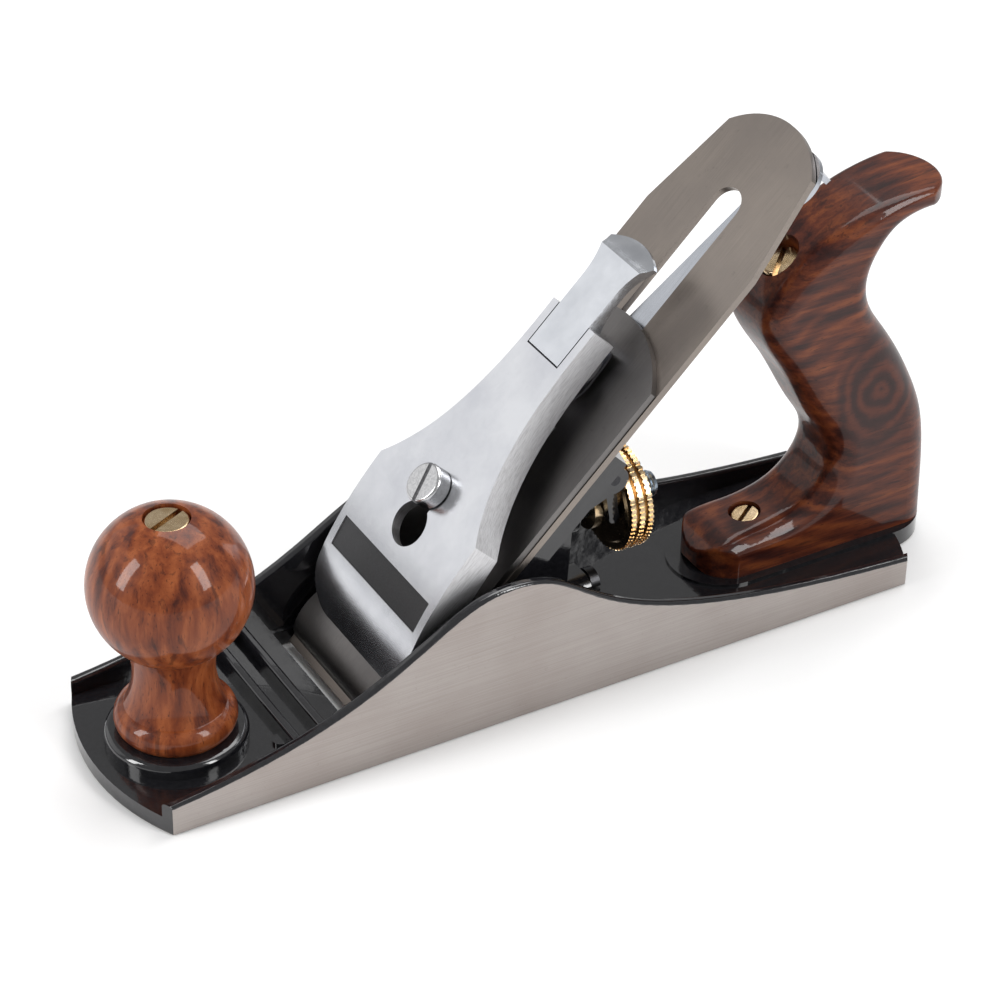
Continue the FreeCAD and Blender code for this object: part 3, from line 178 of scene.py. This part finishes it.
def japan(f, ground, groundColour, groundRough, groundHeight):
    # brushed-on gloss black wherever ground is 0: soft ripples and fine pits under a clear top
    ripple = f.noise(f.place, *japanCoat["ripple"])
    pits = f.noise(f.place, *japanCoat["pits"])
    paint = 1 - ground
    black = f.mix(pits.spread(*japanCoat["wornRange"]), japanCoat["black"], japanCoat["worn"])
    rough = ground * groundRough + paint * (japanCoat["rough"] + pits * japanCoat["pitRough"])
    height = ground * groundHeight + paint * (ripple + pits * japanCoat["pitDepth"])
    return f.close(colour=f.mix(ground, black, groundColour), rough=rough, metal=ground,
                   coat=paint * japanCoat["clear"], coatRough=japanCoat["clearRough"],
                   normal=f.bump(height, *japanCoat["bump"]))


casting = {
    "cheeks": (30.95, 30.98), "sole": (0.02, 0.10),         # where paint and ground iron meet, mm
    "bright": (0.385, 0.343, 0.322), "pale": (0.430, 0.392, 0.372), "cloud": (0.035, 3, 0.55),
    "cloudRange": (0.35, 0.65), "lines": (1.6, 4, 0.6), "lineStretch": (0.02, 6.0, 6.0),
    "lineRange": (0.4, 0.62), "lineTone": (0.22, 0.19, 0.17), "lineShare": 0.30, "lineDepth": 0.10,
    "specks": (0.8, 5, 0.75), "speckRange": (0.60, 0.72), "speckTone": (0.20, 0.17, 0.15),
    "speckShare": 0.25, "tooth": (3.2, 3, 0.7), "toothRough": 0.12, "toothDepth": 0.05, "rough": 0.36,
}


def japannedCasting():
    # cheeks, sole and the end of the tongue are ground bright, all else is japanned
    f = Finish("japanned_casting")
    outer = abs(f.y).step(*casting["cheeks"])
    under = 1 - f.z.step(*casting["sole"])
    lines = f.noise(f.place, *casting["lines"], stretch=casting["lineStretch"])
    cloud = f.noise(f.place, *casting["cloud"])
    tooth = f.noise(f.place, *casting["tooth"])
    specks = f.noise(f.place, *casting["specks"]).step(*casting["speckRange"])
    tone = f.mix(cloud.spread(*casting["cloudRange"]), casting["bright"], casting["pale"])
    tone = f.mix(lines.spread(*casting["lineRange"]) * casting["lineShare"], tone, casting["lineTone"])
    tone = f.mix(specks * casting["speckShare"], tone, casting["speckTone"])
    return japan(f, outer.most(under), tone, casting["rough"] + tooth * casting["toothRough"],
                 lines * casting["lineDepth"] + tooth * casting["toothDepth"])


frogIron = {
    "bed": (-0.6, -0.4), "bossEnd": 21.2, "bossHeight": 37.2, "bossRadius": 7.0,    # machined places, mm
    "bright": (0.42, 0.42, 0.42), "dull": (0.28, 0.28, 0.29), "rough": 0.30,
    "cutter": (1.4, 4, 0.6), "cutterStretch": (0.3, 5.0, 0.3), "cutterRange": (0.4, 0.65),
    "cutterRough": 0.15, "cutterDepth": 0.2,
}


def machinedFrog():
    # the bed and the end of the stud's boss are machined, the rest is japanned
    f = Finish("frog_iron")
    face = f.parts(f.onBed())[2].step(*frogIron["bed"])
    lift = f.z - frogIron["bossHeight"]
    around = (f.y * f.y + lift * lift).root()
    boss = (f.x > frogIron["bossEnd"]) * (around < frogIron["bossRadius"])
    cutter = f.noise(f.place, *frogIron["cutter"], stretch=frogIron["cutterStretch"])
    tone = f.mix(cutter.spread(*frogIron["cutterRange"]), frogIron["bright"], frogIron["dull"])
    return japan(f, face.most(boss), tone, frogIron["rough"] + cutter * frogIron["cutterRough"],
                 cutter * frogIron["cutterDepth"])


flatSteels = {
    "iron_steel": {"bright": (0.30, 0.262, 0.232), "dull": (0.25, 0.220, 0.200), "rough": 0.30,
                   "stain": 0.25},
    "cap_iron_steel": {"bright": (0.20, 0.190, 0.185), "dull": (0.155, 0.148, 0.146), "rough": 0.26,
                       "stain": 0.25},
    "spring_steel": {"bright": (0.22, 0.22, 0.24), "dull": (0.16, 0.16, 0.19), "rough": 0.25, "stain": 0.25},
    "lever_steel": {"bright": (0.52, 0.54, 0.58), "dull": (0.42, 0.44, 0.48), "rough": 0.16, "stain": 0.1},
}
grinding = {
    "lines": (2.0, 5, 0.65), "lineStretch": (0.03, 3.0, 3.0), "lineRange": (0.42, 0.66), "lineShare": 0.4,
    "lineShade": 0.62, "lineRough": 0.10, "lineDepth": 0.8, "cross": (1.5, 3, 0.6),
    "crossStretch": (0.9, 0.05, 1.0), "crossDepth": 0.25, "cloud": (0.045, 4, 0.6), "cloudRange": (0.3, 0.7),
    "cloudRough": 0.06, "stains": (0.4, 5, 0.7), "stainRange": (0.60, 0.74), "stainShade": 0.5,
    "bump": (0.02, 0.6), "brushed": 0.35,
}


def flatSteel(name):
    # ground lengthways up the bed, with cross scratches and a few old stains
    f = Finish(name)
    steel = flatSteels[name]
    place = f.onBed()
    lines = f.noise(place, *grinding["lines"], stretch=grinding["lineStretch"])
    cross = f.noise(place, *grinding["cross"], stretch=grinding["crossStretch"])
    cloud = f.noise(place, *grinding["cloud"])
    stains = f.noise(place, *grinding["stains"]).step(*grinding["stainRange"])
    lineTone = darker(steel["bright"], grinding["lineShade"])
    stainTone = darker(steel["dull"], grinding["stainShade"])
    tone = f.mix(cloud.spread(*grinding["cloudRange"]), steel["bright"], steel["dull"])
    tone = f.mix(lines.spread(*grinding["lineRange"]) * grinding["lineShare"], tone, lineTone)
    tone = f.mix(stains * steel["stain"], tone, stainTone)
    rough = steel["rough"] + lines * grinding["lineRough"] + cloud * grinding["cloudRough"]
    height = lines * grinding["lineDepth"] + cross * grinding["crossDepth"]
    return f.close(colour=tone, rough=rough, metal=1.0, normal=f.bump(height, *grinding["bump"]),
                   brushed=grinding["brushed"])


roundSteels = {
    "plain_steel": {"bright": (0.50, 0.50, 0.51), "rough": 0.22},
    "blacked_steel": {"bright": (0.060, 0.060, 0.064), "rough": 0.30},
    "stud_steel": {"bright": (0.34, 0.40, 0.47), "rough": 0.20},
    "screw_nickel": {"bright": (0.62, 0.62, 0.63), "rough": 0.16},
}
turning = {
    "rings": (1.5, 3, 0.6), "ringStretch": (5.0, 0.3, 0.3), "marks": (1.3, 5, 0.7), "markRange": (0.35, 0.7),
    "markShade": 0.75, "markRough": 0.14, "markDepth": 0.5, "bump": (0.03, 0.5),
}


def roundSteel(name):
    # bright turned work: faint rings and handling marks
    f = Finish(name)
    steel = roundSteels[name]
    rings = f.noise(f.place, *turning["rings"], stretch=turning["ringStretch"])
    marks = f.noise(f.place, *turning["marks"])
    tone = f.mix(marks.spread(*turning["markRange"]), steel["bright"],
                 darker(steel["bright"], turning["markShade"]))
    return f.close(colour=tone, rough=steel["rough"] + marks * turning["markRough"], metal=1.0,
                   normal=f.bump(rings + marks * turning["markDepth"], *turning["bump"]))


brass = {
    "bright": (0.66, 0.51, 0.33), "tarnished": (0.46, 0.32, 0.17), "tarnish": (0.22, 4, 0.6),
    "tarnishRange": (0.38, 0.68), "marks": (1.4, 4, 0.6), "markStretch": (4.0, 0.5, 0.5), "markRough": 0.10,
    "specks": (1.8, 4, 0.7), "speckRange": (0.58, 0.72), "speckTone": (0.26, 0.16, 0.08), "speckShare": 0.35,
    "speckRough": 0.1, "rough": 0.14, "bump": (0.03, 0.5),
}


def polishedBrass():
    f = Finish("polished_brass")
    tarnish = f.noise(f.place, *brass["tarnish"])
    marks = f.noise(f.place, *brass["marks"], stretch=brass["markStretch"])
    specks = f.noise(f.place, *brass["specks"]).step(*brass["speckRange"])
    tone = f.mix(tarnish.spread(*brass["tarnishRange"]), brass["bright"], brass["tarnished"])
    tone = f.mix(specks * brass["speckShare"], tone, brass["speckTone"])
    rough = brass["rough"] + marks * brass["markRough"] + specks * brass["speckRough"]
    return f.close(colour=tone, rough=rough, metal=1.0, normal=f.bump(marks + tarnish, *brass["bump"]))


leverCap = {
    "band": (30.6, 39.3), "bandHalf": 22.7,                  # up the bed and across it, mm
    "bandTones": ((0.018, 0.018, 0.020), (0.035, 0.035, 0.038)), "bandRough": 0.42, "bandMetal": 0.1,
    "speckle": (2.4, 4, 0.7), "speckleRange": (0.4, 0.7), "speckleRough": 0.2,
    "faceTones": ((0.72, 0.73, 0.76), (0.60, 0.61, 0.65)), "faceRange": (0.35, 0.75), "faceRough": 0.17,
    "cloud": (0.06, 4, 0.6), "cloudRange": (0.3, 0.7), "cloudRough": 0.12, "cloudDepth": 1.2,
    "marks": (1.7, 5, 0.7), "markStretch": (0.4, 2.6, 1.0), "markRange": (0.6, 0.72),
    "markTone": (0.36, 0.37, 0.40), "markShare": 0.25, "markDepth": 0.25,
    "wallTone": (0.72, 0.71, 0.71), "wallShare": 0.6, "wallRough": 0.18,
    "streaks": (1.4, 4, 0.65), "streakStretch": (0.22, 0.5, 4.5), "streakRange": (0.45, 0.62),
    "streakTone": (0.33, 0.32, 0.33), "streakShare": 0.55, "streakDepth": 1.1,
    "cross": (1.2, 4, 0.6), "crossStretch": (3.2, 1.2, 0.4), "crossDepth": 0.4, "bump": (0.05, 0.55),
}


def satinNickel():
    # the lever cap: polished face, brushed walls, a dark painted band in its recess
    f = Finish("satin_nickel")
    place = f.onBed()
    up, across, _ = f.parts(place)
    low, high = leverCap["band"]
    band = (up > low) * (up < high) * (abs(across) < leverCap["bandHalf"])
    facing = f.facing()
    outward = facing[2] * math.cos(bed["turn"]) - facing[0] * math.sin(bed["turn"])
    wall = 1 - outward.step(*leverCap["faceRange"])
    streaks = f.noise(place, *leverCap["streaks"], stretch=leverCap["streakStretch"])
    cross = f.noise(place, *leverCap["cross"], stretch=leverCap["crossStretch"])
    cloud = f.noise(place, *leverCap["cloud"])
    marks = f.noise(place, *leverCap["marks"], stretch=leverCap["markStretch"])
    speckle = f.noise(place, *leverCap["speckle"])
    paint = f.mix(speckle.spread(*leverCap["speckleRange"]), *leverCap["bandTones"])
    streaked = wall * streaks.spread(*leverCap["streakRange"])
    tone = f.mix(cloud.spread(*leverCap["cloudRange"]), *leverCap["faceTones"])
    tone = f.mix(wall * leverCap["wallShare"], tone, leverCap["wallTone"])
    tone = f.mix(streaked * leverCap["streakShare"], tone, leverCap["streakTone"])
    tone = f.mix(marks.step(*leverCap["markRange"]) * leverCap["markShare"], tone, leverCap["markTone"])
    rough = leverCap["faceRough"] + cloud * leverCap["cloudRough"] + wall * leverCap["wallRough"]
    bandRough = leverCap["bandRough"] + speckle * leverCap["speckleRough"]
    faceHeight = marks * leverCap["markDepth"] + cloud * leverCap["cloudDepth"]
    wallHeight = streaks * leverCap["streakDepth"] + cross * leverCap["crossDepth"]
    height = (1 - wall) * faceHeight + wall * wallHeight
    return f.close(colour=f.mix(band, tone, paint), rough=rough * (1 - band) + band * bandRough,
                   metal=1 - band * (1 - leverCap["bandMetal"]), normal=f.bump(height, *leverCap["bump"]))


chrome = {
    "tones": ((0.72, 0.74, 0.78), (0.60, 0.62, 0.66)), "cloud": (0.12, 3, 0.5), "cloudRange": (0.3, 0.7),
    "cloudDepth": 2, "marks": (1.6, 5, 0.7), "markRough": 0.09, "markDepth": 0.15, "rough": 0.10,
    "bump": (0.08, 0.5),
}


def brightChrome():
    f = Finish("bright_chrome")
    cloud = f.noise(f.place, *chrome["cloud"])
    marks = f.noise(f.place, *chrome["marks"])
    height = cloud * chrome["cloudDepth"] + marks * chrome["markDepth"]
    return f.close(colour=f.mix(cloud.spread(*chrome["cloudRange"]), *chrome["tones"]),
                   rough=chrome["rough"] + marks * chrome["markRough"], metal=1.0,
                   normal=f.bump(height, *chrome["bump"]))


# along draws the grain out; growth rings are shells round the heart, of the size that shells gives in mm,
# and ringEvery is the share of that size from one ring to the next
woods = {
    "tote_rosewood": {
        "dark": (0.008, 0.002, 0.0018), "deep": (0.030, 0.006, 0.004), "mid": (0.085, 0.018, 0.007),
        "light": (0.170, 0.043, 0.012), "rings": 0.26, "streaks": 0.62, "lift": 0.00,
        "along": (0.035, 0.30, 0.36), "heart": (117.0, 0.0, 53.0), "shells": (15.0, 12.0, 11.0),
        "ringEvery": 0.56,
        "knot": {"x": 113.5, "z": 54.5, "tall": 1.25, "ringEvery": 5.0, "fades": (9.0, 21.0),
                 "wander": (0.09, 3, 0.55), "wanderBy": 7, "ring": 0.17, "lift": 0.19, "fibre": 0.12,
                 "streaks": 0.18},
    },
    "knob_rosewood": {
        "dark": (0.018, 0.004, 0.003), "deep": (0.070, 0.013, 0.005), "mid": (0.165, 0.036, 0.010),
        "light": (0.265, 0.071, 0.021), "rings": 0.22, "streaks": 0.70, "lift": 0.06,
        "along": (0.24, 0.24, 0.035), "heart": (-118.0, 10.0, 40.0), "shells": (9.0, 9.0, 40.0),
        "ringEvery": 0.55,
    },
}
figuring = {
    "stops": (0.0, 0.30, 0.58, 0.90), "sway": (0.035, 3, 0.55), "swayBy": 0.9, "bend": (0.5, 3, 0.55),
    "bendBy": 0.30, "ringSharp": 1.5, "streaks": (1.0, 5, 0.62, 0.35), "streakRange": (0.30, 0.70),
    "fibre": (1.0, 4, 0.7), "fibreFine": 5, "fibreShare": 0.24, "fibreRough": 0.12,
    "pores": (1.0, 2, 0.5), "poreFine": 9, "poreRange": (0.63, 0.70), "poreShare": 0.6, "poreDepth": 0.03,
    "veins": (0.8, 4, 0.6, 0.8), "veinFine": 1.7, "veinRange": (0.57, 0.66), "veinShare": 0.5,
    "peel": (0.25, 2, 0.4), "rough": 0.36, "varnish": 0.42, "varnishRough": 0.06, "specular": 0.12,
    "bump": (0.08, 0.4),
}


def rosewood(name):
    # growth rings as shells round the heart, figure streaks along the grain, open pores, then clear gloss
    f = Finish(name)
    wood = woods[name]

    def grain(recipe, finer=1):
        return f.noise(f.place, *figuring[recipe], stretch=tuple(a * finer for a in wood["along"]))

    offset = f.vector("SUBTRACT", f.place, wood["heart"])
    shells = f.vector("LENGTH", f.vector("DIVIDE", offset, wood["shells"]))
    shells = shells + f.noise(f.place, *figuring["sway"]) * figuring["swayBy"]
    shells = shells + grain("bend") * figuring["bendBy"]
    ring = ((shells * (math.tau / wood["ringEvery"])).sine() * 0.5 + 0.5).power(figuring["ringSharp"])
    streaks = grain("streaks")
    fibre = grain("fibre", figuring["fibreFine"])
    pores = grain("pores", figuring["poreFine"]).step(*figuring["poreRange"])
    veins = grain("veins", figuring["veinFine"]).step(*figuring["veinRange"])
    figure = streaks.spread(*figuring["streakRange"]) * wood["streaks"] + ring * wood["rings"]
    figure = figure + fibre * figuring["fibreShare"] + wood["lift"]
    if "knot" in wood:
        # rings close round a knot that shows on both sides of the grip
        knot = wood["knot"]
        across = f.x - knot["x"]
        tall = (f.z - knot["z"]) * (1 / knot["tall"])
        away = (across * across + tall * tall).root()
        away = away + (f.noise(f.place, *knot["wander"]) - 0.5) * knot["wanderBy"]
        knotRing = (away * (math.tau / knot["ringEvery"])).sine() * knot["ring"] + knot["lift"]
        knotRing = knotRing + fibre * knot["fibre"] + streaks * knot["streaks"]
        near = 1 - away.step(*knot["fades"])
        figure = figure * (1 - near) + knotRing * near
    tones = [wood[depth] for depth in ("dark", "deep", "mid", "light")]
    tone = f.add("ShaderNodeValToRGB", {"stops": list(zip(figuring["stops"], tones))}, {0: figure})
    tone = f.mix(veins * figuring["veinShare"], tone, wood["dark"])
    tone = f.mix(pores * figuring["poreShare"], tone, wood["dark"])
    height = f.noise(f.place, *figuring["peel"]) - pores * figuring["poreDepth"]
    return f.close(colour=tone, rough=figuring["rough"] + fibre * figuring["fibreRough"], metal=0.0,
                   coat=figuring["varnish"], coatRough=figuring["varnishRough"],
                   normal=f.bump(height, *figuring["bump"]), specular=figuring["specular"])


def dress(name, material):
    # a CAD node takes a finish in all of its slots
    data = nodes[name].data
    data.materials.clear()
    data.materials.append(material)


print("finishes")
finishes = {"japanned_casting": japannedCasting(), "frog_iron": machinedFrog(),
            "polished_brass": polishedBrass(), "satin_nickel": satinNickel(), "bright_chrome": brightChrome()}
for make, names in ((flatSteel, flatSteels), (roundSteel, roundSteels), (rosewood, woods)):
    finishes.update({name: make(name) for name in names})
wearers = {
    "japanned_casting": ["plane_body"],
    "frog_iron": ["frog", "depth_yoke"],
    "iron_steel": ["plane_iron"],
    "cap_iron_steel": ["cap_iron", "frog_adjusting_clip"],
    "spring_steel": ["lever_cap_spring"],
    "lever_steel": ["lateral_lever"],
    "plain_steel": ["frog_screws", "frog_washers", "frog_clip_screw", "lateral_rivet", "lateral_roller",
                    "cap_iron_screw", "cam_pin", "spring_rivet", "knob_stud", "tote_stud"],
    "blacked_steel": ["frog_adjusting_screw", "yoke_pin"],
    "stud_steel": ["depth_stud"],
    "screw_nickel": ["lever_cap_screw"],
    "polished_brass": ["depth_wheel", "knob_nut", "tote_nut", "tote_toe_screw"],
    "satin_nickel": ["lever_cap"],
    "bright_chrome": ["cam_lever"],
    "tote_rosewood": ["rear_tote"],
    "knob_rosewood": ["front_knob"],
}
for name, pieces in wearers.items():
    for piece in pieces:
        dress(piece, finishes[name])

print("stage, lights and camera")
stage = {"size": 6.0, "drop": 0.0004, "paper": (0.86, 0.86, 0.86), "tooth": (0.5, 3, 0.6),
         "toothShade": 0.985, "rough": 0.75, "bump": (0.05, 0.2), "sky": (1, 1, 1, 1), "skyStrength": 0.42}


def makeFloor():
    # just under the sole, so that the two faces don't meet
    half = stage["size"] / 2
    corners = [(-half, -half, 0), (half, -half, 0), (half, half, 0), (-half, half, 0)]
    mesh = bpy.data.meshes.new("floor")
    mesh.from_pydata(corners, [], [(0, 1, 2, 3)])
    floor = bpy.data.objects.new("floor", mesh)
    floor.location.z = -stage["drop"]
    scene.collection.objects.link(floor)
    f = Finish("floor_paper")
    tooth = f.noise(f.place, *stage["tooth"])
    colour = f.mix(tooth, stage["paper"], darker(stage["paper"], stage["toothShade"]))
    mesh.materials.append(f.close(colour=colour, rough=stage["rough"], normal=f.bump(tooth, *stage["bump"])))


def makeWorld():
    world = bpy.data.worlds.new("studio")
    scene.world = world
    world.use_nodes = True
    background = world.node_tree.nodes["Background"]
    background.inputs["Color"].default_value = stage["sky"]
    background.inputs["Strength"].default_value = stage["skyStrength"]


# way points from the aim to the lamp; reach and size are in metres
lamps = {
    "softToe": {"way": (-0.88, 0.10, 0.465), "reach": 1.30, "size": (0.30, 0.85), "radiance": 11.0},
    "softNear": {"way": (0.37, -0.74, 0.56), "reach": 1.30, "size": (0.30, 0.85), "radiance": 11.0},
    "softOverhead": {"way": (0.33, 0.24, 0.91), "reach": 1.30, "size": (1.0, 0.9), "radiance": 3.9},
    "softFar": {"way": (-0.567, 0.709, 0.419), "reach": 1.40, "size": (1.2, 0.8), "radiance": 0.6},
}
lampAim = Vector((0, 0, 0.04))


def makeLamp(name, way, reach, size, radiance):
    data = bpy.data.lights.new(name, "AREA")
    data.shape = "RECTANGLE"
    data.size, data.size_y = size
    data.energy = radiance * math.pi * size[0] * size[1]
    lamp = bpy.data.objects.new(name, data)
    lamp.location = lampAim + Vector(way) * reach
    lamp.rotation_euler = (lampAim - lamp.location).to_track_quat("-Z", "Y").to_euler()
    scene.collection.objects.link(lamp)


# angles in degrees, distance and target in mm, clip in metres
camera = {"azimuth": -30.634, "elevation": 34.571, "roll": 1.279, "distance": 868.996, "lens": 118.4482,
          "sensor": 36, "target": (-0.035, 0.0, 46.978), "clip": (0.01, 50)}


def makeCamera():
    azimuth, elevation, roll = (math.radians(camera[k]) for k in ("azimuth", "elevation", "roll"))
    back = Vector((math.sin(azimuth) * math.cos(elevation), -math.cos(azimuth) * math.cos(elevation),
                   math.sin(elevation)))
    right = Vector((math.cos(azimuth), math.sin(azimuth), 0))
    up = back.cross(right)
    across = right * math.cos(roll) + up * math.sin(roll)
    above = up * math.cos(roll) - right * math.sin(roll)
    place = (Vector(camera["target"]) + back * camera["distance"]) * mm
    data = bpy.data.cameras.new("camera")
    data.sensor_width = camera["sensor"]
    data.lens = camera["lens"]
    data.clip_start, data.clip_end = camera["clip"]
    eye = bpy.data.objects.new("camera", data)
    eye.matrix_world = Matrix.Translation(place) @ Matrix((across, above, back)).transposed().to_4x4()
    scene.collection.objects.link(eye)
    scene.camera = eye


makeFloor()
makeWorld()
for name, lamp in lamps.items():
    makeLamp(name, **lamp)
makeCamera()
scene.view_settings.view_transform = "Standard"

print("done")
